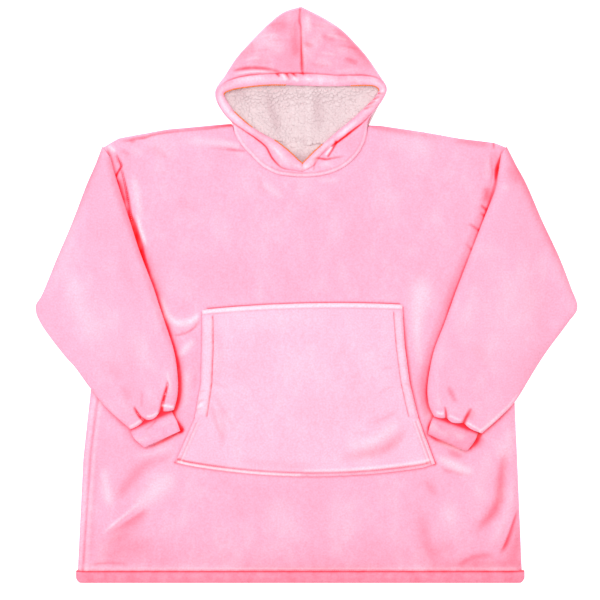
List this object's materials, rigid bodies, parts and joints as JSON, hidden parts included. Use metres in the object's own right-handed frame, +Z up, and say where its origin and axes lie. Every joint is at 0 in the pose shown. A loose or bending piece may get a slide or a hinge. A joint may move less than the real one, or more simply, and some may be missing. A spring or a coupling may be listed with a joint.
{
  "type": "wearable blanket hoodie",
  "caption": "Oversized plush hoodie blanket laid flat, with a curly-lined hood, folded-down sleeves with cuffs and a front pouch pocket.",
  "frame": {"origin": "centre of the garment's outline, on the floor it lies on", "axes": "+Y from the hem towards the hood, +Z up from the floor out of the front of the garment, +X towards the wearer's left sleeve"},
  "size_m": [1.086, 1.154, 0.0326],
  "materials": {
    "front plush": "long soft pile, matt",
    "back plush": "long soft pile, matt",
    "sleeve plush": "long soft pile, matt",
    "pocket plush": "long soft pile, matt",
    "pocket band plush": "long soft pile, matt",
    "hood plush": "long soft pile, matt",
    "brim plush": "long soft pile, matt",
    "cuff plush": "long soft pile, matt",
    "hem plush": "long soft pile, matt",
    "curly lining": "curly pile, matt"
  },
  "bodies": {
    "root": {"back_panel": "back plush", "hem_back": "hem plush", "front_panel": "front plush", "hem_front": "hem plush", "pocket": "pocket plush", "pocket_band_right": "pocket band plush", "pocket_band_left": "pocket band plush", "sleeve_right": "sleeve plush", "sleeve_left": "sleeve plush", "cuff_right": "cuff plush", "cuff_left": "cuff plush", "hood_right": "hood plush", "hood_left": "hood plush", "hood_band": "brim plush", "hood_lining_right": "curly lining", "hood_lining_left": "curly lining", "back_lining": "curly lining"}
  },
  "joints": []
}
